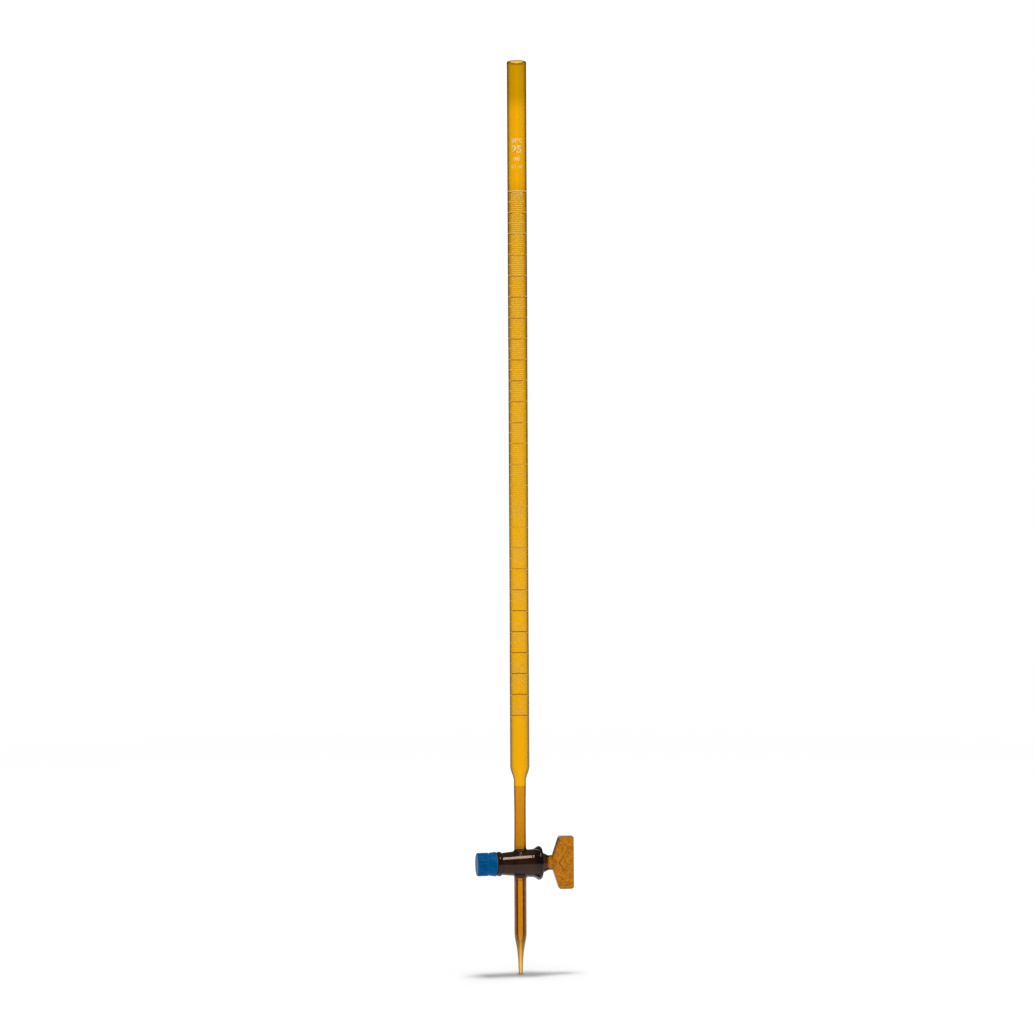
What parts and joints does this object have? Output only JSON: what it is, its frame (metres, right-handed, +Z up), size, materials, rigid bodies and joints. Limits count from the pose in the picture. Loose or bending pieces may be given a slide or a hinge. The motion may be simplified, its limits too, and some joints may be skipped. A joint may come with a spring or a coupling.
{
  "type": "glass burette",
  "caption": "Amber glass burette: a graduated measuring tube over a T-handled glass stopcock and a drawn-out jet, for dispensing measured volumes.",
  "frame": {"origin": "on the measuring tube's axis, halfway along its parallel outer wall, where a burette clamp can grip it", "axes": "+Z up the tube to its mouth, +X along the stopcock towards its handle, -Y towards the side that the scale faces"},
  "size_m": [0.0629, 0.0218, 0.5858],
  "materials": {
    "amber_glass": "clear amber borosilicate glass, fire polished",
    "dark_amber_glass": "thick, dark amber glass with smooth beads",
    "pressed_amber_glass": "pressed amber glass, slightly mottled",
    "enamel": "white fired enamel line",
    "blue_plastic": "moulded blue polypropylene, satin",
    "white_ptfe": "smooth white fluoropolymer",
    "black_rubber": "moulded elastomer"
  },
  "bodies": {
    "glass_body": {"graduated_tube": "amber_glass", "one_ml_rings": "enamel", "half_ml_lines": "enamel", "tenth_ml_lines": "enamel", "inlet_stem": "amber_glass", "stopcock_barrel": "dark_amber_glass", "jet_tube": "amber_glass"},
    "plug": {"stopcock_plug": "pressed_amber_glass", "sealing_washer": "white_ptfe", "elastic_ring": "black_rubber"},
    "collar": {"thrust_collar": "blue_plastic"},
    "nut": {"retaining_nut": "blue_plastic"}
  },
  "joints": [
    {"name": "plug_turn", "type": "hinge", "parent": "glass_body", "child": "plug", "pos_m": [0, 0, -0.28841], "axis": [1, 0, 0], "continuous": true},
    {"name": "collar_slide", "type": "slide", "parent": "plug", "child": "collar", "axis": [-1, 0, 0], "range_m": [0, 0.003]},
    {"name": "nut_turn", "type": "hinge", "parent": "collar", "child": "nut", "pos_m": [-0.024, 0, -0.28841], "axis": [-1, 0, 0], "range_deg": [0, 722]}
  ],
  "couplings": [
    {"joint": "nut_turn", "follows": "collar_slide", "rad_per_m": 4188.8}
  ]
}
